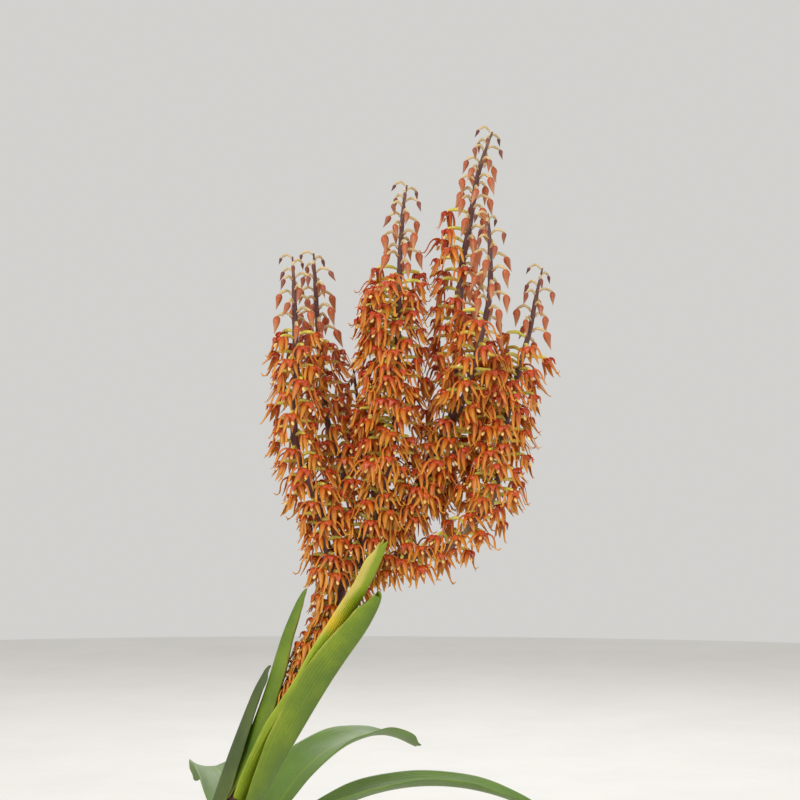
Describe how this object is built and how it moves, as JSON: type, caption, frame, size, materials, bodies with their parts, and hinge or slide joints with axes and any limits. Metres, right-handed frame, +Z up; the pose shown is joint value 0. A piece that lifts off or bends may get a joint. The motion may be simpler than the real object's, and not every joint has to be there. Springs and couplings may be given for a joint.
{
  "type": "potted orchid in flower",
  "caption": "Potted orchid in flower: flat pseudobulbs with strap leaves in a terracotta pot of bark, and a branched spray of small hanging orange flowers.",
  "frame": {"origin": "centre of the pot's flat base", "axes": "+Z up, +X to the right of the flowering side's front view, which looks along +Y"},
  "size_m": [0.3231, 0.2584, 0.4553],
  "materials": {
    "terracotta": "matte",
    "bark": "matte",
    "root": "matte",
    "pseudobulb": "satin",
    "sheath": "matte",
    "leaf": "satin",
    "rachis": "satin",
    "stalk": "satin",
    "flower": "satin",
    "moss": "matte"
  },
  "bodies": {
    "root": {"pot": "terracotta", "bark_mix": "bark", "rhizome_and_roots": "root", "pseudobulb_flowering": "pseudobulb", "pseudobulb_right": "pseudobulb", "pseudobulb_left": "pseudobulb", "pseudobulb_old": "pseudobulb", "young_shoot": "leaf", "leaf_inner_right": "leaf", "leaf_outer_right": "leaf", "leaf_inner_left": "leaf", "leaf_outer_left": "leaf", "leaf_right_1": "leaf", "leaf_right_2": "leaf", "leaf_right_3": "leaf", "leaf_left_1": "leaf", "leaf_left_2": "leaf", "leaf_left_3": "leaf", "spray_middle": "flower", "spray_left": "flower", "spray_tall": "flower", "spray_right": "flower"}
  },
  "joints": []
}
